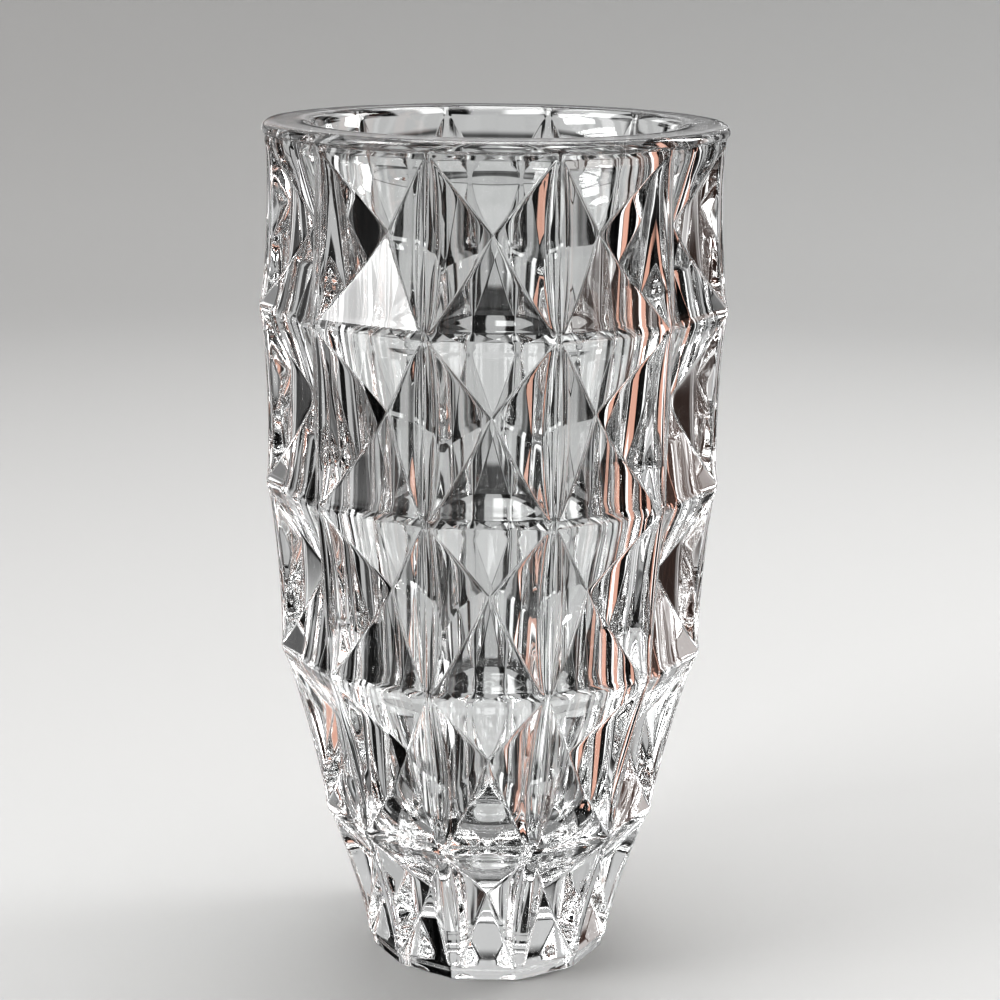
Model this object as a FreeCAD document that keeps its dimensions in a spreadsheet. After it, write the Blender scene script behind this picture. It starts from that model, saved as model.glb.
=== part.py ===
import FreeCAD, Part
import math
import os
import Sketcher

# Cut crystal vase: one piece of pressed glass. Twelve flat sides, each divided into five tiers,
# and in each tier of each side a four-sided pyramid pressed inwards, its tip towards the axis.
# Origin at the middle of the underside, +Z up, one column of notches facing -Y. Millimetres.

SIDES = 12
HALF_SIDE = 180.0 / SIDES
NEAR = 1e-4

DIMENSIONS = [
    # alias, value, meaning
    ("total_height", 305.0, "foot to rim"),
    ("lip_radius", 81.5, "smooth round band above the top tier"),
    ("lip_underside", 300.5, "height where the top tier ends and the band begins"),
    ("foot_radius", 44.1, "rib corner at the underside"),
    ("foot_band", 5.0, "plain band below the lowest tier"),
    ("height_a", 242.3, "ridge between tiers one and two"),
    ("height_b", 180.0, "ridge between tiers two and three"),
    ("height_c", 118.7, "ridge between tiers three and four"),
    ("height_d", 56.4, "ridge between tiers four and five"),
    ("radius_a", 84.0, "rib corner at that ridge"),
    ("radius_b", 82.3, "rib corner at that ridge"),
    ("radius_c", 77.6, "rib corner at that ridge"),
    ("radius_d", 61.5, "rib corner at that ridge"),
    ("radius_e", 45.6, "rib corner at the top of the foot band"),
    ("rib_dip", 1.5, "how far a rib falls back half way between two ridges"),
    ("rib_width", 3.0, "glass left between two notches side by side, at a ridge"),
    ("ridge_width", 3.6, "glass left between two notches one above the other"),
    ("tool_reach", 1.15, "notch slopes run on outwards past the flat side by this factor"),
    ("notch_depth", 11.0, "tip of a notch below the flat side"),
    ("tip_rise", 2.4, "tip of a notch above the middle of its tier"),
    ("mouth_radius", 64.0, "inside of the wall at the rim"),
    ("draft", 4.5, "degrees by which the inside narrows towards the floor"),
    ("floor_curve", 34.0, "radius between wall and floor inside"),
    ("floor_height", 38.0, "thickness of the solid base"),
    ("overshoot", 5.0, "how far the shape that cuts the inside sticks out above the rim"),
    ("foot_bevel", 0.8, "bevel round the underside"),
    ("rim_round_out", 2.5, "rounding of the rim outside"),
    ("rim_round_in", 4.0, "rounding of the rim inside"),
]

SIZE = {alias: value for alias, value, meaning in DIMENSIONS}

# Each tier: its name, then the height and rib radius at its top and at its bottom.
TIERS = [
    ("tier_one", "lip_underside", "lip_radius", "height_a", "radius_a"),
    ("tier_two", "height_a", "radius_a", "height_b", "radius_b"),
    ("tier_three", "height_b", "radius_b", "height_c", "radius_c"),
    ("tier_four", "height_c", "radius_c", "height_d", "radius_d"),
    ("tier_five", "height_d", "radius_d", "foot_band", "radius_e"),
]

doc = FreeCAD.newDocument("cut_crystal_vase")


def make_sheet():
    sheet = doc.addObject("Spreadsheet::Sheet", "dims")
    for row, (alias, value, meaning) in enumerate(DIMENSIONS, start=1):
        sheet.set(f"A{row}", alias.replace("_", " "))
        sheet.set(f"B{row}", str(value))
        sheet.setAlias(f"B{row}", alias)
        sheet.set(f"C{row}", meaning)
    doc.recompute()


def origin_item(body, role):
    return next(item for item in body.Origin.OriginFeatures if item.Role == role)


def new_sketch(body, name, plane_role):
    sketch = body.newObject("Sketcher::SketchObject", name)
    sketch.AttachmentSupport = [(origin_item(body, plane_role), "")]
    sketch.MapMode = "FlatFace"
    return sketch


def bind(sketch, constraint, expression):
    """Adds a dimension and binds it to the sheet."""
    index = sketch.addConstraint(constraint)
    sketch.setExpression(f"Constraints[{index}]", expression)


def add_circle(sketch, radius, construction):
    """A circle about the sketch's origin, drawn at this radius until its dimension is bound."""
    shape = Part.Circle(FreeCAD.Vector(), FreeCAD.Vector(0, 0, 1), radius)
    circle = sketch.addGeometry(shape, construction)
    sketch.addConstraint(Sketcher.Constraint("Coincident", circle, 3, -1, 1))
    return circle


def polygon_sketch(body, name, height, radius):
    """A twelve-sided outline, level at the given height, with one flat side facing -Y."""
    sketch = new_sketch(body, name, "XY_Plane")
    sketch.setExpression("AttachmentOffset.Base.z", height)
    drawn = SIZE["radius_a"]
    first = math.radians(-90.0 - HALF_SIDE)
    step = 2.0 * math.pi / SIDES
    turns = [first + i * step for i in range(SIDES)]
    corners = [FreeCAD.Vector(drawn * math.cos(a), drawn * math.sin(a), 0) for a in turns]
    for i in range(SIDES):
        sketch.addGeometry(Part.LineSegment(corners[i], corners[(i + 1) % SIDES]), False)
    circle = add_circle(sketch, drawn, construction=True)
    for i in range(SIDES):
        sketch.addConstraint(Sketcher.Constraint("Coincident", i, 2, (i + 1) % SIDES, 1))
        sketch.addConstraint(Sketcher.Constraint("PointOnObject", i, 1, circle))
    for i in range(1, SIDES):
        sketch.addConstraint(Sketcher.Constraint("Equal", 0, i))
    sketch.addConstraint(Sketcher.Constraint("Horizontal", 0))
    bind(sketch, Sketcher.Constraint("Radius", circle, drawn), radius)
    return sketch


def add_blank(body):
    """The twelve-sided body, each of its sides bent slightly inwards half way down every tier."""
    sections = [polygon_sketch(body, "outline_foot", "0 mm", "dims.foot_radius")]
    for name, top, top_radius, bottom, bottom_radius in reversed(TIERS):
        sections.append(
            polygon_sketch(body, f"outline_under_{name}", f"dims.{bottom}", f"dims.{bottom_radius}")
        )
        sections.append(
            polygon_sketch(
                body,
                f"outline_mid_{name}",
                f"(dims.{top} + dims.{bottom}) / 2",
                f"(dims.{top_radius} + dims.{bottom_radius}) / 2 - dims.rib_dip",
            )
        )
    sections.append(
        polygon_sketch(body, "outline_under_lip", "dims.lip_underside", "dims.lip_radius")
    )
    loft = body.newObject("PartDesign::AdditiveLoft", "blank")
    loft.Profile = sections[0]
    loft.Sections = sections[1:]
    loft.Ruled = True
    doc.recompute()


def add_lip(body):
    """The smooth round band that carries the rim."""
    sketch = new_sketch(body, "outline_lip", "XY_Plane")
    sketch.setExpression("AttachmentOffset.Base.z", "dims.lip_underside")
    circle = add_circle(sketch, SIZE["lip_radius"], construction=False)
    bind(sketch, Sketcher.Constraint("Radius", circle, SIZE["lip_radius"]), "dims.lip_radius")
    pad = body.newObject("PartDesign::Pad", "lip")
    pad.Profile = sketch
    pad.setExpression("Length", "dims.total_height - dims.lip_underside")
    doc.recompute()


def tip_place(top, top_radius, bottom, bottom_radius):
    """Height of a notch's tip and its distance from the axis, as expressions."""
    height = f"((dims.{top} + dims.{bottom}) / 2 + dims.tip_rise)"
    flat_side = f"(dims.{top_radius} + dims.{bottom_radius}) / 2 * cos({HALF_SIDE} deg)"
    return height, f"({flat_side} - dims.notch_depth)"


def notch_tip(body, name, tip_height, tip_distance):
    """The tip of a notch: one point inside the glass."""
    sketch = new_sketch(body, f"tip_{name}", "XZ_Plane")
    sketch.setExpression("AttachmentOffset.Base.y", tip_height)
    sketch.setExpression("AttachmentOffset.Base.z", tip_distance)
    point = sketch.addGeometry(Part.Point(FreeCAD.Vector()), False)
    sketch.addConstraint(Sketcher.Constraint("Coincident", point, 1, -1, 1))
    return sketch


def notch_mouth(body, name, tip_height, tip_distance, low_edge, high_edge):
    """The open end of a notch, a trapezium that leans with the tier and lies outside the blank.

    On the flat side itself the notch stops short of the ribs and ridges by half their width.
    The trapezium is that outline, spread from the tip by tool_reach.
    """
    half = f"{HALF_SIDE} deg"
    low_height, low_radius = (f"dims.{alias}" for alias in low_edge)
    high_height, high_radius = (f"dims.{alias}" for alias in high_edge)
    lean = f"(({high_radius} - {low_radius}) / ({high_height} - {low_height}))"
    low_z = f"({low_height} + dims.ridge_width / 2)"
    high_z = f"({high_height} - dims.ridge_width / 2)"
    low_corner = f"({low_radius} + {lean} * dims.ridge_width / 2)"
    high_corner = f"({high_radius} - {lean} * dims.ridge_width / 2)"
    rise = f"(dims.tool_reach * ({high_z} - {low_z}))"
    flare = f"(dims.tool_reach * ({high_corner} - {low_corner}) * cos({half}))"
    sketch = new_sketch(body, f"mouth_{name}", "XZ_Plane")
    # The sketch leans about its own X axis, so that its upright runs along the tier's side.
    sketch.AttachmentOffset = FreeCAD.Placement(
        FreeCAD.Vector(), FreeCAD.Rotation(FreeCAD.Vector(1, 0, 0), 1)
    )
    sketch.setExpression(
        "AttachmentOffset.Base.y", f"{tip_height} + dims.tool_reach * ({low_z} - {tip_height})"
    )
    sketch.setExpression(
        "AttachmentOffset.Base.z",
        f"{tip_distance} + dims.tool_reach * ({low_corner} * cos({half}) - {tip_distance})",
    )
    sketch.setExpression("AttachmentOffset.Rotation.Angle", f"atan({flare} / {rise})")
    half_low = SIZE[low_edge[1]] * math.sin(math.radians(HALF_SIDE))
    half_high = SIZE[high_edge[1]] * math.sin(math.radians(HALF_SIDE))
    upright = SIZE[high_edge[0]] - SIZE[low_edge[0]]
    corners = [
        FreeCAD.Vector(-half_low, 0, 0),
        FreeCAD.Vector(half_low, 0, 0),
        FreeCAD.Vector(half_high, upright, 0),
        FreeCAD.Vector(-half_high, upright, 0),
    ]
    for i in range(4):
        sketch.addGeometry(Part.LineSegment(corners[i], corners[(i + 1) % 4]), False)
    for i in range(4):
        sketch.addConstraint(Sketcher.Constraint("Coincident", i, 2, (i + 1) % 4, 1))
    sketch.addConstraint(Sketcher.Constraint("Horizontal", 0))
    sketch.addConstraint(Sketcher.Constraint("Symmetric", 0, 1, 0, 2, -1, 1))
    sketch.addConstraint(Sketcher.Constraint("Symmetric", 2, 1, 2, 2, -2))
    low_width = f"dims.tool_reach * (2 * {low_corner} * sin({half}) - dims.rib_width)"
    high_width = f"dims.tool_reach * (2 * {high_corner} * sin({half}) - dims.rib_width)"
    slant = f"sqrt({rise}^2 + {flare}^2)"
    bind(sketch, Sketcher.Constraint("DistanceX", 0, 1, 0, 2, 2 * half_low), low_width)
    bind(sketch, Sketcher.Constraint("DistanceX", 2, 2, 2, 1, 2 * half_high), high_width)
    bind(sketch, Sketcher.Constraint("DistanceY", 1, 1, 1, 2, upright), slant)
    return sketch


def add_notches(body):
    """Five rings of inward pyramids, twelve to a ring."""
    for tier in TIERS:
        name, top, top_radius, bottom, bottom_radius = tier
        tip_height, tip_distance = tip_place(top, top_radius, bottom, bottom_radius)
        tip = notch_tip(body, name, tip_height, tip_distance)
        mouth = notch_mouth(
            body, name, tip_height, tip_distance, (bottom, bottom_radius), (top, top_radius)
        )
        doc.recompute()
        notch = body.newObject("PartDesign::SubtractiveLoft", f"notch_{name}")
        notch.Profile = mouth
        notch.Sections = [(tip, ["Vertex1"])]
        notch.Ruled = True
        doc.recompute()
        ring = body.newObject("PartDesign::PolarPattern", f"ring_{name}")
        ring.Originals = [notch]
        ring.Axis = (origin_item(body, "Z_Axis"), [""])
        ring.Angle = 360
        ring.Occurrences = SIDES
        body.Tip = ring
        doc.recompute()


def add_inside(body):
    """The smooth round inside: a slowly narrowing wall and a rounded floor."""
    sketch = new_sketch(body, "outline_inside", "XZ_Plane")
    draft = math.radians(SIZE["draft"])
    floor_curve = SIZE["floor_curve"]
    floor_y = SIZE["floor_height"]
    top_y = SIZE["total_height"] + SIZE["overshoot"]
    top_x = SIZE["mouth_radius"] + SIZE["overshoot"] * math.tan(draft)
    bend_y = floor_y + floor_curve * (1 - math.sin(draft))
    bend_x = top_x - (top_y - bend_y) * math.tan(draft)
    centre_x = bend_x - floor_curve * math.cos(draft)
    centre = FreeCAD.Vector(centre_x, floor_y + floor_curve, 0)
    wall_top = FreeCAD.Vector(top_x, top_y, 0)
    bend = FreeCAD.Vector(bend_x, bend_y, 0)
    floor_edge = FreeCAD.Vector(centre_x, floor_y, 0)
    floor_middle = FreeCAD.Vector(0, floor_y, 0)
    axis_top = FreeCAD.Vector(0, top_y, 0)
    floor_circle = Part.Circle(centre, FreeCAD.Vector(0, 0, 1), floor_curve)
    wall = sketch.addGeometry(Part.LineSegment(wall_top, bend), False)
    corner = sketch.addGeometry(Part.ArcOfCircle(floor_circle, -math.pi / 2, -draft), False)
    floor = sketch.addGeometry(Part.LineSegment(floor_edge, floor_middle), False)
    axis = sketch.addGeometry(Part.LineSegment(floor_middle, axis_top), False)
    top = sketch.addGeometry(Part.LineSegment(axis_top, wall_top), False)
    sketch.addConstraint(Sketcher.Constraint("Tangent", wall, 2, corner, 2))
    sketch.addConstraint(Sketcher.Constraint("Tangent", corner, 1, floor, 1))
    sketch.addConstraint(Sketcher.Constraint("Horizontal", floor))
    sketch.addConstraint(Sketcher.Constraint("Coincident", floor, 2, axis, 1))
    sketch.addConstraint(Sketcher.Constraint("PointOnObject", axis, 1, -2))
    sketch.addConstraint(Sketcher.Constraint("Vertical", axis))
    sketch.addConstraint(Sketcher.Constraint("Coincident", axis, 2, top, 1))
    sketch.addConstraint(Sketcher.Constraint("Horizontal", top))
    sketch.addConstraint(Sketcher.Constraint("Coincident", top, 2, wall, 1))
    bind(
        sketch,
        Sketcher.Constraint("DistanceX", -1, 1, wall, 1, top_x),
        "dims.mouth_radius + dims.overshoot * tan(dims.draft * 1 deg)",
    )
    bind(
        sketch,
        Sketcher.Constraint("DistanceY", -1, 1, top, 1, top_y),
        "dims.total_height + dims.overshoot",
    )
    bind(sketch, Sketcher.Constraint("Angle", wall, 2, axis, 1, draft), "dims.draft * 1 deg")
    bind(sketch, Sketcher.Constraint("DistanceY", -1, 1, floor, 2, floor_y), "dims.floor_height")
    bind(sketch, Sketcher.Constraint("Radius", corner, floor_curve), "dims.floor_curve")
    doc.recompute()
    solid_volume = body.Shape.Volume
    groove = body.newObject("PartDesign::Groove", "inside")
    groove.Profile = sketch
    groove.ReferenceAxis = (sketch, ["V_Axis"])
    groove.Angle = 360
    doc.recompute()
    if groove.Shape.Volume >= solid_volume:
        raise RuntimeError("the inside cut no glass away")


def circle_edge_names(shape, height, radius):
    """Names of the round edges about the axis at this height and radius."""
    names = []
    for number, edge in enumerate(shape.Edges, start=1):
        curve = edge.Curve
        if isinstance(curve, Part.Circle) and abs(curve.Center.z - height) < NEAR:
            if abs(curve.Radius - radius) < NEAR:
                names.append(f"Edge{number}")
    return names


def add_rim_rounding(body):
    """Fire-polished rim: the lip's top edge is rounded outside and, more, inside."""
    for name, radius_alias, rounding in (
        ("rim_outside", "lip_radius", "rim_round_out"),
        ("rim_inside", "mouth_radius", "rim_round_in"),
    ):
        base = body.Tip
        edges = circle_edge_names(base.Shape, SIZE["total_height"], SIZE[radius_alias])
        fillet = body.newObject("PartDesign::Fillet", name)
        fillet.Base = (base, edges)
        fillet.setExpression("Radius", f"dims.{rounding}")
        doc.recompute()


def add_foot_bevel(body):
    """Small bevel where the flat sides meet the ground underside."""
    base = body.Tip
    edges = [
        f"Edge{number}"
        for number, edge in enumerate(base.Shape.Edges, start=1)
        if max(abs(vertex.Z) for vertex in edge.Vertexes) < NEAR
    ]
    bevel = body.newObject("PartDesign::Chamfer", "foot_bevel")
    bevel.Base = (base, edges)
    bevel.setExpression("Size", "dims.foot_bevel")
    doc.recompute()


def check_and_export(body):
    """Stops if anything failed to recompute or the vase is not one valid solid."""
    for item in doc.Objects:
        if "Invalid" in item.State or "Error" in item.State:
            raise RuntimeError(f"{item.Name} did not recompute: {item.State}")
    shape = body.Shape
    if shape.isNull() or not shape.isValid() or len(shape.Solids) != 1:
        raise RuntimeError(f"{body.Label} is not one valid solid")
    box = shape.BoundBox
    print(body.Label, "volume cm3", round(shape.Volume / 1000.0, 1), "faces", len(shape.Faces))
    print("box", [round(v, 2) for v in (box.XMin, box.YMin, box.ZMin, box.XMax, box.YMax, box.ZMax)])
    shape.exportStep(f"parts/{body.Label}.step")


def main():
    make_sheet()
    body = doc.addObject("PartDesign::Body", "vase_body")
    body.Label = "vase_body"
    body.Placement = FreeCAD.Placement()
    add_blank(body)
    add_notches(body)
    add_lip(body)
    add_inside(body)
    add_rim_rounding(body)
    add_foot_bevel(body)
    os.makedirs("parts", exist_ok=True)
    check_and_export(body)


main()
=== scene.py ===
import math

import bmesh
import bpy
import numpy as np
from mathutils import Matrix, Vector


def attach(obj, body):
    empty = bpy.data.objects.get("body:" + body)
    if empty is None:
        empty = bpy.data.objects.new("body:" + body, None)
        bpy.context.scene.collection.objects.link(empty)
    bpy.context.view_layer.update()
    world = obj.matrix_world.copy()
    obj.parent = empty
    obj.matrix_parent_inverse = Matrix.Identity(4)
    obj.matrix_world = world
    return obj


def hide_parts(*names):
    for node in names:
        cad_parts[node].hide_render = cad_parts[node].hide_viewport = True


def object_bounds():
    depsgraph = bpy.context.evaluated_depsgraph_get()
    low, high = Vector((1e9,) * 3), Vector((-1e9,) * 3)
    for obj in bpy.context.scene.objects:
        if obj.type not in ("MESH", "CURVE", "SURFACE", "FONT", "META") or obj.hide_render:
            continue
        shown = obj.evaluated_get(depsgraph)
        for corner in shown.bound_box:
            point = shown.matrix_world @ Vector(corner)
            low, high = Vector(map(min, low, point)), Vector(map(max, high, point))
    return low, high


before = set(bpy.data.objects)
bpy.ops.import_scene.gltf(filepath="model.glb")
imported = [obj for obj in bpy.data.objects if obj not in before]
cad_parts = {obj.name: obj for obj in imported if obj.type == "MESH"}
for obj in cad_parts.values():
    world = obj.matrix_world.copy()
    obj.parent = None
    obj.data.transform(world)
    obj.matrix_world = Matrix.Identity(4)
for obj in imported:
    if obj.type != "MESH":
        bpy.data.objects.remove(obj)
cad_low, cad_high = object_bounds()

MM = 0.001

# ---------------------------------------------------------------- the vase's driving sizes
COLUMNS = 12
HALF_CELL = math.pi / COLUMNS
# Ridges between tiers, from the lip down to the foot band: height and rib radius.
RIDGES = np.array([
    (300.5, 81.5),
    (242.3, 84.0),
    (180.0, 82.3),
    (118.7, 77.6),
    (56.4, 61.5),
    (5.0, 45.6),
]) * MM
HEIGHT = cad_high.z
LIP_RADIUS = cad_high.x
FOOT_RADIUS = 44.1 * MM
FOOT_BEVEL = 0.8 * MM
RIB_DIP = 1.5 * MM        # how far a rib curves in half way between two ridges
RIB_WIDTH = 3.0 * MM
RIDGE_WIDTH = 3.6 * MM
NOTCH_DEPTH = 11.0 * MM
SAG = 0.6 * MM            # how far a lower slope lies below a flat one, half way down
TIP_RISE = 2.4 * MM       # how far a notch's tip lies above the middle of its tier
MOUTH_RADIUS = 64.0 * MM
DRAFT = math.radians(4.5)  # taper of the inside
FLOOR_CURVE = 34.0 * MM
FLOOR_HEIGHT = 38.0 * MM
RIM_ROUND_OUT = 2.5 * MM
RIM_ROUND_IN = 4.0 * MM
LIP_BLEND = 1.4 * MM      # height over which the top ridge turns into the round lip

# How softly the surfaces meet: two of them blend where their depths differ by less than this.
CROWN_SOFT = 1.0 * MM
SHOULDER_SOFT = 0.7 * MM
CREASE_SOFT = 0.36 * MM
WELD_DISTANCE = 0.002 * MM
SMALL_RING = 0.02         # share of the floor's width left to fill in at the axis

# Mesh spacing as shares of the way: along a side of a notch from its corner to its middle, and
# from its edge to its tip. Points crowd where the surface is rounded.
ALONG = np.array([
    0, 0.006, 0.014, 0.024, 0.036, 0.05, 0.08, 0.13, 0.2, 0.3, 0.42, 0.56, 0.7, 0.85, 1.0,
])
INWARD = np.array([
    0, 0.015, 0.03, 0.05, 0.07, 0.09, 0.115, 0.14, 0.17, 0.21, 0.27, 0.36, 0.5, 0.65, 0.8,
    0.9, 0.95, 0.98,
])


def smooth_min(a, b, soft):
    """The smaller of two, rounded where they come within `soft` of each other."""
    near = np.maximum(soft - np.abs(a - b), 0.0) / soft
    return np.minimum(a, b) - near * near * soft / 4.0


def smooth_max(a, b, soft):
    """The larger of two, rounded in the same way."""
    return -smooth_min(-a, -b, soft)


def plane_through(a, b, c):
    """Normal and offset of the plane through three points (across, outward, up)."""
    normal = np.cross(b - a, c - a)
    return normal, normal @ a


def plane_radius(plane, angle, height):
    """Distance from the axis at which a horizontal ray at this angle meets the plane."""
    normal, offset = plane
    outward = normal[0] * np.sin(angle) + normal[1] * np.cos(angle)
    return (offset - normal[2] * height) / outward


def twelve_sided(corner_radius, angle):
    """Radius of a twelve-sided outline with rounded corners, at angles within one column."""
    flat = corner_radius * math.cos(HALF_CELL)
    here = flat / np.cos(angle)
    beyond = flat / np.cos(2 * HALF_CELL - np.abs(angle))
    return smooth_min(here, beyond, CROWN_SOFT)


class Tier:
    """One ring of notches: the planes of its slopes in the frame of one column."""

    def __init__(self, top, bottom):
        self.top_z, self.top_r = top
        self.low_z, self.low_r = bottom
        self.tip_z = (self.top_z + self.low_z) / 2 + TIP_RISE
        self.tip_r = (self.top_r + self.low_r) / 2 * math.cos(HALF_CELL) - NOTCH_DEPTH
        tip = np.array([0.0, self.tip_r, self.tip_z])
        lean = (self.top_r - self.low_r) / (self.top_z - self.low_z)
        corner = {}
        for name, z, r, inset in (
            ("top", self.top_z, self.top_r, -RIDGE_WIDTH / 2),
            ("low", self.low_z, self.low_r, RIDGE_WIDTH / 2),
        ):
            reach = r + lean * inset
            across = reach * math.sin(HALF_CELL) - RIB_WIDTH / 2
            for side in (-1, 1):
                corner[name, side] = np.array(
                    [side * across, reach * math.cos(HALF_CELL), z + inset]
                )
        self.upper = plane_through(tip, corner["top", -1], corner["top", 1])
        self.lower = plane_through(tip, corner["low", -1], corner["low", 1])
        self.right = plane_through(tip, corner["low", 1], corner["top", 1])

    def side(self, angle, height):
        """Right-hand slope; at the opposite angle it is the left-hand one."""
        return plane_radius(self.right, angle, height)

    def crown(self, angle, height):
        """The outer skin that the ribs and ridges keep between the notches."""
        tall = self.top_z - self.low_z
        along = np.clip((height - self.low_z) / tall, 0.0, 1.0)
        free = np.clip((height - self.low_z - RIDGE_WIDTH / 2) / (tall - RIDGE_WIDTH), 0.0, 1.0)
        radius = self.low_r + (self.top_r - self.low_r) * along
        return twelve_sided(radius - RIB_DIP * np.sqrt(np.sin(math.pi * free)), angle)


def make_tiers():
    """The five rings of notches, from the top one down."""
    return [Tier(RIDGES[i], RIDGES[i + 1]) for i in range(len(RIDGES) - 1)]


def sag(tier, height):
    """How far the lower slope lies below a flat one: nothing at its tip and at its ridge."""
    down = np.clip((tier.tip_z - height) / (tier.tip_z - tier.low_z), 0.0, 1.0)
    return SAG * 4.0 * down * (1.0 - down)


def notch_radius(tiers, index, angle, height):
    """Radius of the pressed surface inside one notch, at angles within its own column."""
    tier = tiers[index]
    upper = plane_radius(tier.upper, angle, height)
    lower = plane_radius(tier.lower, angle, height) - sag(tier, height)
    sides = smooth_max(tier.side(angle, height), tier.side(-angle, height), CREASE_SOFT)
    level = smooth_max(upper, lower, CREASE_SOFT)
    notch = smooth_max(sides, level, CREASE_SOFT)
    return smooth_min(notch, tier.crown(angle, height), SHOULDER_SOFT)


def ridge_radius(tiers, index, angle):
    """Radius along ridge number `index`, shared by the tiers above and below it."""
    height = np.full_like(angle, RIDGES[index, 0])
    found = [
        notch_radius(tiers, i, angle, height) for i in (index - 1, index) if 0 <= i < len(tiers)
    ]
    return sum(found) / len(found)


class Shell:
    """Collects vertices and faces, and turns them into one welded mesh."""

    def __init__(self):
        self.points, self.faces, self.count = [], [], 0

    def add(self, points, faces):
        self.points.append(points)
        self.faces.append(faces + self.count)
        self.count += len(points)

    def build(self, name):
        mesh = bpy.data.meshes.new(name)
        points = np.concatenate(self.points)
        faces = np.concatenate(self.faces)
        mesh.vertices.add(len(points))
        mesh.vertices.foreach_set("co", points.ravel())
        mesh.loops.add(faces.size)
        mesh.loops.foreach_set("vertex_index", faces.ravel())
        mesh.polygons.add(len(faces))
        mesh.polygons.foreach_set("loop_start", np.arange(0, faces.size, 4))
        mesh.update(calc_edges=True)
        return mesh


def polar(radius, angle, height):
    """Points of one column centred on -Y."""
    return np.stack([radius * np.sin(angle), -radius * np.cos(angle), height], axis=-1)


def turned(points, angle):
    """Points turned about the vase's axis."""
    c, s = math.cos(angle), math.sin(angle)
    x, y, z = points[..., 0], points[..., 1], points[..., 2]
    return np.stack([c * x - s * y, s * x + c * y, z], axis=-1)


def grid_faces(rows, columns, closed):
    """Quads of a grid of rows x columns points; `closed` joins the last column to the first."""
    wide = columns if closed else columns - 1
    row, column = np.meshgrid(np.arange(rows - 1), np.arange(wide), indexing="ij")
    beside = (column + 1) % columns
    here, below = row * columns, (row + 1) * columns
    quads = np.stack([here + column, here + beside, below + beside, below + column], axis=-1)
    return quads.reshape(-1, 4)


def fan_faces(around, first, centre):
    """Quads from a ring of points, numbered from `first` on, to the point in its middle."""
    i = np.arange(0, around, 2)
    corners = [first + i, first + (i + 1) % around, first + (i + 2) % around]
    return np.stack(corners + [np.full_like(i, centre)], axis=-1)


def side_steps():
    """Positions from -1 to 1 along one side of a notch, crowded at both corners."""
    half = ALONG - 1.0
    return np.concatenate([half, -half[-2::-1]])


def notch_points(tiers, index):
    """Rings of points from the edge of a notch to its tip."""
    tier = tiers[index]
    t = side_steps()[:-1]
    one = np.ones_like(t)
    across = np.concatenate([t, one, -t, -one])
    up = np.concatenate([-one, t, one, -t])
    tip_up = 2 * (tier.tip_z - tier.low_z) / (tier.top_z - tier.low_z) - 1
    keep = (1 - INWARD)[:, None]
    u = keep * across
    v = tip_up + keep * (up - tip_up)
    angle = u * HALF_CELL
    height = tier.low_z + (v + 1) / 2 * (tier.top_z - tier.low_z)
    radius = notch_radius(tiers, index, angle, height)
    edge_angle = angle[0]
    on_top = up > 1 - 1e-9
    on_low = up < -1 + 1e-9
    radius[0, on_top] = ridge_radius(tiers, index, edge_angle[on_top])
    radius[0, on_low] = ridge_radius(tiers, index + 1, edge_angle[on_low])
    rings = polar(radius, angle, height).reshape(-1, 3)
    tip_radius = notch_radius(tiers, index, np.zeros(1), np.array([tier.tip_z]))
    tip = polar(tip_radius, np.zeros(1), np.array([tier.tip_z]))
    return rings, tip, len(across)


def add_notches(shell, tiers):
    """Every notch of every tier, from its surrounding ribs and ridges to its tip."""
    for index in range(len(tiers)):
        rings, tip, around = notch_points(tiers, index)
        faces = grid_faces(len(INWARD), around, closed=True)
        last = (len(INWARD) - 1) * around
        centre = len(rings)
        for column in range(COLUMNS):
            turn = column * 2 * HALF_CELL
            points = np.concatenate([rings, tip])
            cap = fan_faces(around, last, centre)
            shell.add(turned(points, turn), np.concatenate([faces, cap]))


def column_angles():
    """Angles across one column, matching the top and bottom sides of its notches."""
    return side_steps()[:-1] * HALF_CELL


def round_rows(radius, height):
    """Rings of points all the way round, from the radius and height across one column."""
    angle = np.broadcast_to(column_angles(), radius.shape)
    column = polar(radius, angle, height)
    turns = np.arange(COLUMNS) * 2 * HALF_CELL
    return np.concatenate([turned(column, turn) for turn in turns], axis=1)


def inside_profile():
    """Radius and height down the inside, from the rim rounding to the middle of the floor."""
    centre_z = FLOOR_HEIGHT + FLOOR_CURVE
    slope = math.tan(DRAFT)
    bend_z = centre_z - FLOOR_CURVE * math.sin(DRAFT)
    bend_r = MOUTH_RADIUS - (HEIGHT - bend_z) * slope
    centre_r = bend_r - FLOOR_CURVE * math.cos(DRAFT)
    wall = np.linspace(HEIGHT - RIM_ROUND_IN, bend_z, 30)
    profile = [(MOUTH_RADIUS - (HEIGHT - z) * slope, z) for z in wall]
    for a in np.linspace(DRAFT, math.pi / 2, 20)[1:]:
        radius = centre_r + FLOOR_CURVE * math.cos(a)
        profile.append((radius, centre_z - FLOOR_CURVE * math.sin(a)))
    floor = np.linspace(centre_r, SMALL_RING * centre_r, 5)[1:]
    return profile + [(r, FLOOR_HEIGHT) for r in floor]


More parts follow.
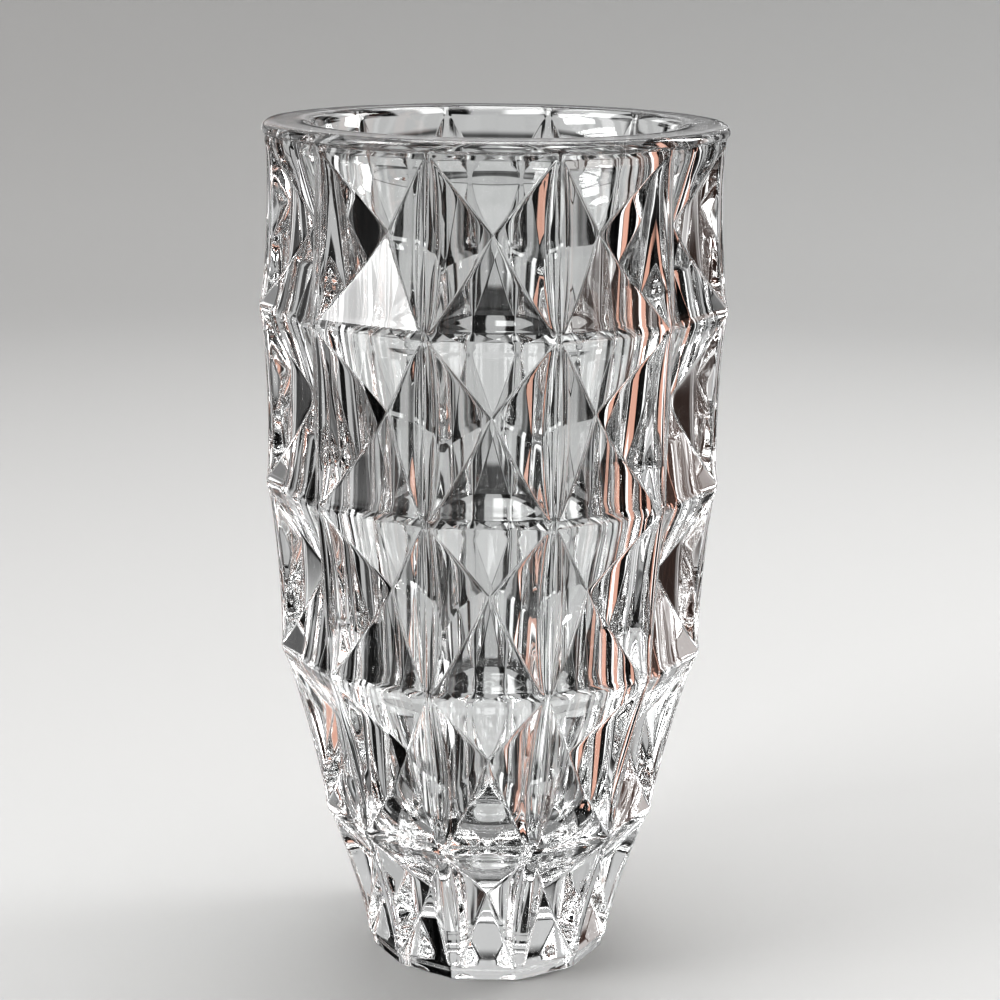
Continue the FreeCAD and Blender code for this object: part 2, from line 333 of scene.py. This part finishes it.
def rim_profile():
    """Radius and height over the rim, from the outside of the lip to the inside."""
    lip = np.linspace(RIDGES[0, 0] + LIP_BLEND, HEIGHT - RIM_ROUND_OUT, 3)
    profile = [(LIP_RADIUS, z) for z in lip]
    for a in np.linspace(0, math.pi / 2, 9)[1:]:
        radius = LIP_RADIUS - RIM_ROUND_OUT * (1 - math.cos(a))
        profile.append((radius, HEIGHT - RIM_ROUND_OUT * (1 - math.sin(a))))
    flat = np.linspace(LIP_RADIUS - RIM_ROUND_OUT, MOUTH_RADIUS + RIM_ROUND_IN, 5)[1:]
    profile += [(r, HEIGHT) for r in flat]
    for a in np.linspace(math.pi / 2, 0, 10)[1:-1]:
        radius = MOUTH_RADIUS + RIM_ROUND_IN * (1 - math.cos(a))
        profile.append((radius, HEIGHT - RIM_ROUND_IN * (1 - math.sin(a))))
    return profile


class Rows:
    """Rings round the whole vase, from its outside to a small one at the axis that is filled in."""

    def __init__(self):
        self.radius, self.height = [], []

    def add(self, radius, height):
        """One ring; its radius is a number, or one number for each angle across a column."""
        self.radius.append(np.broadcast_to(radius, column_angles().shape))
        self.height.append(np.full_like(column_angles(), height))

    def close(self, shell):
        """Adds the rings to the shell, joined up, with the last one filled in."""
        points = round_rows(np.array(self.radius), np.array(self.height))
        rows, around = points.shape[:2]
        shell.add(points.reshape(-1, 3), grid_faces(rows, around, closed=True))
        ring = points[-1]
        middle = ring.mean(axis=0)
        shell.add(np.concatenate([ring, middle[None]]), fan_faces(around, 0, around))


def add_top(shell, tiers):
    """From the top ridge of the notches into the round lip, over the rim and down the inside."""
    edge = ridge_radius(tiers, 0, column_angles())
    rows = Rows()
    rows.add(edge, RIDGES[0, 0])
    for share in (0.15, 0.4, 0.7, 0.9):
        ease = share * share * (3 - 2 * share)
        rows.add(edge + (LIP_RADIUS - edge) * ease, RIDGES[0, 0] + LIP_BLEND * share)
    for radius, height in rim_profile() + inside_profile():
        rows.add(radius, height)
    rows.close(shell)


def add_foot(shell, tiers):
    """From the lowest ridge down the plain band, round the bevel and across the underside."""
    angle = column_angles()
    top = ridge_radius(tiers, len(RIDGES) - 1, angle)
    low = twelve_sided(FOOT_RADIUS, angle)
    band = RIDGES[-1, 0]
    rows = Rows()
    rows.add(top, band)
    for share in (0.1, 0.25, 0.5, 0.75):
        ease = 1 - (1 - share) ** 2
        rows.add(top + (low - top) * ease, band + (FOOT_BEVEL - band) * share)
    for a in np.linspace(0, math.pi / 2, 6):
        rows.add(low - FOOT_BEVEL * (1 - math.cos(a)), FOOT_BEVEL * (1 - math.sin(a)))
    for share in (0.95, 0.85, 0.6, 0.3, SMALL_RING):
        rows.add((low - FOOT_BEVEL) * share, 0.0)
    rows.close(shell)


def weld(mesh):
    """Joins the notches, top and foot into one closed surface, smooth shaded."""
    work = bmesh.new()
    work.from_mesh(mesh)
    bmesh.ops.remove_doubles(work, verts=work.verts, dist=WELD_DISTANCE)
    bmesh.ops.recalc_face_normals(work, faces=work.faces)
    open_edges = [e for e in work.edges if not e.is_manifold]
    print("vase mesh", len(work.verts), "vertices", len(work.faces), "faces")
    print("open edges", len(open_edges))
    print("volume cm3", round(work.calc_volume() * 1e6, 1))
    for face in work.faces:
        face.smooth = True
    work.to_mesh(mesh)
    work.free()


def make_vase():
    """The whole vase as one closed surface."""
    tiers = make_tiers()
    shell = Shell()
    add_notches(shell, tiers)
    add_top(shell, tiers)
    add_foot(shell, tiers)
    mesh = shell.build("crystal_vase")
    weld(mesh)
    vase = bpy.data.objects.new("crystal_vase", mesh)
    bpy.context.scene.collection.objects.link(vase)
    return vase


# ---------------------------------------------------------------- materials
def new_material(name):
    """A node material and its Principled shader."""
    material = bpy.data.materials.new(name)
    material.use_nodes = True
    return material, material.node_tree.nodes["Principled BSDF"]


def crystal_material():
    """Clear lead glass with the faint waviness of a pressed surface."""
    material, shader = new_material("crystal")
    nodes, links = material.node_tree.nodes, material.node_tree.links
    shader.inputs["Base Color"].default_value = (0.985, 0.992, 0.99, 1)
    shader.inputs["Transmission Weight"].default_value = 1.0
    shader.inputs["IOR"].default_value = 1.53
    shader.inputs["Roughness"].default_value = 0.0
    place = nodes.new("ShaderNodeTexCoord")
    flow = nodes.new("ShaderNodeTexNoise")
    flow.inputs["Scale"].default_value = 45.0
    flow.inputs["Detail"].default_value = 2.0
    links.new(place.outputs["Object"], flow.inputs["Vector"])
    bump = nodes.new("ShaderNodeBump")
    bump.inputs["Strength"].default_value = 0.02
    bump.inputs["Distance"].default_value = 0.001
    links.new(flow.outputs["Fac"], bump.inputs["Height"])
    links.new(bump.outputs["Normal"], shader.inputs["Normal"])
    return material


def plain_material(name, colour, roughness):
    """A plain colour without any texture."""
    material, shader = new_material(name)
    shader.inputs["Base Color"].default_value = (*colour, 1)
    shader.inputs["Roughness"].default_value = roughness
    return material


# ---------------------------------------------------------------- studio
def lathe(name, profile, around=96):
    """Surface of revolution about the vase's axis, from a list of radius and height."""
    turn = np.arange(around) * 2 * math.pi / around
    rows = [polar(r, turn, np.full(around, z)) for r, z in profile]
    faces = grid_faces(len(rows), around, closed=True)[:, ::-1]
    mesh = bpy.data.meshes.new(name)
    mesh.from_pydata(np.concatenate(rows).tolist(), [], faces.tolist())
    for polygon in mesh.polygons:
        polygon.use_smooth = True
    obj = bpy.data.objects.new(name, mesh)
    bpy.context.scene.collection.objects.link(obj)
    return obj


PALE = (0.46, 0.46, 0.456)
AIR_GAP = 0.2 * MM      # the floor lies this far below the polished underside
TABLE_RADIUS = 0.75
WALL_RADIUS = 2.0
WALL_TOP = 0.9
SWEEP = 0.6             # radius of the curve from floor to wall


def make_stage():
    """Pale floor near the vase, and a pale sweep and wall far behind it on every side.

    The glass doesn't show them: it shows the panels of the world instead.
    """
    floor = [(0.0005, -AIR_GAP), (0.2, -AIR_GAP), (TABLE_RADIUS, -AIR_GAP)]
    wall = [(TABLE_RADIUS, -AIR_GAP), (WALL_RADIUS - SWEEP, -AIR_GAP)]
    for a in np.linspace(0, math.pi / 2, 12)[1:]:
        wall.append((WALL_RADIUS - SWEEP + SWEEP * math.sin(a), SWEEP * (1 - math.cos(a))))
    wall.append((WALL_RADIUS, WALL_TOP))
    pale = plain_material("stage_pale", PALE, 0.5)
    for name, profile in (("stage_floor", floor), ("stage_wall", wall)):
        piece = lathe(name, profile)
        piece.data.materials.append(pale)
        piece.visible_transmission = False
        piece.visible_glossy = False


def soft_light(name, azimuth, elevation, distance, size, power):
    """Area light aimed at the vase: azimuth 0 is the camera's side, positive to the right."""
    light = bpy.data.lights.new(name, "AREA")
    light.shape = "RECTANGLE"
    light.size, light.size_y = size
    light.energy = power
    lamp = bpy.data.objects.new(name, light)
    a, e = math.radians(azimuth), math.radians(elevation)
    outward = Vector((math.sin(a) * math.cos(e), -math.cos(a) * math.cos(e), math.sin(e)))
    lamp.location = Vector((0, 0, HEIGHT / 2)) + distance * outward
    lamp.rotation_euler = (-outward).to_track_quat("-Z", "Y").to_euler()
    bpy.context.scene.collection.objects.link(lamp)


def make_lights():
    """A window of four panes to the left, a tall narrow one to the right, and a soft overhead."""
    for azimuth in (-66, -54):
        for elevation in (32, 44):
            name = f"window_left_{azimuth}_{elevation}"
            soft_light(name, azimuth, elevation, 1.3, (0.24, 0.24), 1.6)
    soft_light("window_right", 112, 32, 1.5, (0.4, 0.8), 9)
    soft_light("overhead", 170, 75, 1.6, (1.2, 1.2), 14)


class Maths:
    """Short way to chain math nodes."""

    def __init__(self, tree):
        self.tree = tree

    def __call__(self, operation, *inputs):
        node = self.tree.nodes.new("ShaderNodeMath")
        node.operation = operation
        for socket, value in zip(node.inputs, inputs):
            if isinstance(value, (int, float)):
                socket.default_value = value
            else:
                self.tree.links.new(value, socket)
        return node.outputs[0]

    def ramp(self, value, low, high, at_low, at_high):
        """Smooth step from at_low to at_high while the value goes from low to high."""
        node = self.tree.nodes.new("ShaderNodeMapRange")
        node.interpolation_type = "SMOOTHSTEP"
        self.tree.links.new(value, node.inputs["Value"])
        node.inputs["From Min"].default_value = low
        node.inputs["From Max"].default_value = high
        node.inputs["To Min"].default_value = at_low
        node.inputs["To Max"].default_value = at_high
        return node.outputs["Result"]


# What the glass shows of its surroundings. Each panel: direction round the vase (0 is the camera's
# side, positive to the right) and half width, lowest and highest elevation, all in degrees, then
# brightness and colour.
WHITE, PEACH = (1.0, 1.0, 1.0), (1.0, 0.60, 0.48)
PANELS = [
    (155, 6, -9, 27, 0.42, WHITE),       # wall behind, with a dark ledge and two dark bars
    (191, 26, -9, 3, 0.42, WHITE),
    (191, 26, 4.5, 27, 0.48, WHITE),
    (229, 8, -9, 27, 0.42, WHITE),
    (192, 55, 31, 60, 0.4, WHITE),
    (167, 12, -22, -12, 0.42, WHITE),    # low pale block behind, right
    (180, 80, -50, -42, 0.06, WHITE),    # table behind
    (0, 200, -90, -54, 0.22, WHITE),     # table straight below
    (-113, 4, -12, 50, 0.9, WHITE),      # windows and their bars, left
    (-97, 6, -10, 50, 1.6, WHITE),
    (-80, 5, -8, 50, 3.0, WHITE),
    (-66, 2, -20, 55, 2.0, WHITE),
    (-48, 5, -10, 45, 0.5, WHITE),
    (-30, 3, -25, 30, 0.3, WHITE),
    (-10, 9, -12, 30, 0.35, WHITE),      # room behind the camera
    (16, 5, -20, 35, 0.30, WHITE),
    (36, 4, -12, 30, 0.5, WHITE),
    (52, 1.5, -30, 50, 0.9, WHITE),
    (68, 4, -40, 50, 0.65, PEACH),       # dark corner with peach and white strips, right
    (87, 2, -30, 60, 1.2, WHITE),
    (94, 4, -35, 45, 0.65, PEACH),
    (112, 2, -30, 50, 1.1, WHITE),
    (119, 5, -35, 45, 0.6, PEACH),
    (141, 2.5, -25, 50, 0.8, WHITE),
]
DARK, CEILING = 0.004, 0.85              # brightness between the panels and straight above
CEILING_EDGE = (45, 65)                  # elevations between which darkness turns into ceiling
STREAKS = (190, 62, -42, -9)             # the streaked table behind: direction and elevations
STREAKS_DARK, STREAKS_BRIGHT = 0.01, 0.4


class World:
    """Brightness by direction, put together from soft-edged patches."""

    EDGE = math.radians(1.2)             # half width of a patch's soft edge

    def __init__(self, tree):
        self.maths = Maths(tree)
        place = tree.nodes.new("ShaderNodeTexCoord")
        split = tree.nodes.new("ShaderNodeSeparateXYZ")
        tree.links.new(place.outputs["Generated"], split.inputs[0])
        x, y, z = split.outputs
        self.azimuth = self.maths("ARCTAN2", x, self.maths("MULTIPLY", y, -1.0))
        self.elevation = self.maths("ARCSINE", z)

    def band(self, low, high):
        """One between two elevations and nothing outside them."""
        low, high = math.radians(low), math.radians(high)
        above = self.maths.ramp(self.elevation, low - self.EDGE, low + self.EDGE, 0.0, 1.0)
        below = self.maths.ramp(self.elevation, high - self.EDGE, high + self.EDGE, 1.0, 0.0)
        return self.maths("MULTIPLY", above, below)

    def sector(self, centre, half):
        """One within half of a direction round the vase and nothing outside it."""
        turned_by = self.maths("SUBTRACT", self.azimuth, math.radians(centre))
        off = self.maths("ARCCOSINE", self.maths("COSINE", turned_by))
        half = math.radians(half)
        return self.maths.ramp(off, half - self.EDGE, half + self.EDGE, 1.0, 0.0)

    def patch(self, centre, half, low, high, strength):
        """A soft-edged panel of one brightness."""
        shape = self.maths("MULTIPLY", self.sector(centre, half), self.band(low, high))
        return self.maths("MULTIPLY", shape, strength)

    def stripes(self, often, dim, bright):
        """Upright streaks of uneven width: two waves of different length added up."""
        first = self.maths("COSINE", self.maths("MULTIPLY", self.azimuth, often))
        second = self.maths("COSINE", self.maths("MULTIPLY_ADD", self.azimuth, 1.7 * often, 0.8))
        both = self.maths("MULTIPLY_ADD", second, 0.7, first)
        return self.maths.ramp(both, -0.2, 0.6, dim, bright)


def make_world():
    """Studio round the vase: upright panels, a bright ceiling and a streaked table behind."""
    world = bpy.data.worlds.new("studio")
    bpy.context.scene.world = world
    world.use_nodes = True
    tree = world.node_tree
    sky = World(tree)
    maths = sky.maths
    start, end = (math.radians(edge) for edge in CEILING_EDGE)
    ceiling = maths.ramp(sky.elevation, start, end, DARK, CEILING)
    streaks = sky.stripes(12.0, STREAKS_DARK, STREAKS_BRIGHT)
    table = maths("MULTIPLY", sky.patch(*STREAKS, 1.0), streaks)
    shown = {WHITE: maths("ADD", ceiling, table), PEACH: 0.0}
    for centre, half, low, high, strength, colour in PANELS:
        patch = sky.patch(centre, half, low, high, strength)
        shown[colour] = maths("ADD", shown[colour], patch)
    output = tree.nodes["World Output"]
    plain = tree.nodes["Background"]
    warm = tree.nodes.new("ShaderNodeBackground")
    both = tree.nodes.new("ShaderNodeAddShader")
    for shader, colour in ((plain, WHITE), (warm, PEACH)):
        shader.inputs["Color"].default_value = (*colour, 1)
        tree.links.new(shown[colour], shader.inputs["Strength"])
    tree.links.new(plain.outputs[0], both.inputs[0])
    tree.links.new(warm.outputs[0], both.inputs[1])
    tree.links.new(both.outputs[0], output.inputs["Surface"])


CAMERA_PLACE = (0.0, -813.7 * MM, 372.4 * MM)
CAMERA_PITCH = math.radians(14.05)       # downwards
CAMERA_YAW = math.radians(0.2)           # to the right
CAMERA_ROLL = math.radians(0.66)
CAMERA_TURN = math.radians(0.51)         # round the vase
SENSOR_WIDTH, FOCAL_LENGTH = 36.0, 83.33


def make_camera():
    """Camera of the photograph, worked out in the vase's own frame."""
    data = bpy.data.cameras.new("camera")
    data.sensor_width = SENSOR_WIDTH
    data.lens = FOCAL_LENGTH
    data.clip_start, data.clip_end = 0.01, 50
    camera = bpy.data.objects.new("camera", data)
    level = Vector((math.sin(CAMERA_YAW), math.cos(CAMERA_YAW), 0))
    forward = level * math.cos(CAMERA_PITCH) - Vector((0, 0, math.sin(CAMERA_PITCH)))
    right = Vector((level.y, -level.x, 0))
    up = right.cross(forward)
    right_rolled = right * math.cos(CAMERA_ROLL) + up * math.sin(CAMERA_ROLL)
    up_rolled = up * math.cos(CAMERA_ROLL) - right * math.sin(CAMERA_ROLL)
    basis = Matrix((right_rolled, up_rolled, -forward)).transposed().to_4x4()
    around = Matrix.Rotation(CAMERA_TURN, 4, "Z")
    camera.matrix_world = around @ Matrix.Translation(CAMERA_PLACE) @ basis
    bpy.context.scene.collection.objects.link(camera)
    bpy.context.scene.camera = camera


def set_view():
    """Crisp contrast between the bright and dark parts of the glass."""
    view = bpy.context.scene.view_settings
    view.view_transform = "Standard"
    view.look = "High Contrast"


def set_light_paths():
    """Thick glass in many layers needs long light paths."""
    cycles = bpy.context.scene.cycles
    cycles.max_bounces = 32
    cycles.transmission_bounces = 32
    cycles.glossy_bounces = 8
    cycles.diffuse_bounces = 4


make_camera()
make_world()
make_stage()
make_lights()
set_view()
set_light_paths()

vase = make_vase()
vase.data.materials.append(crystal_material())
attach(vase, "root")
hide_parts("vase_body")
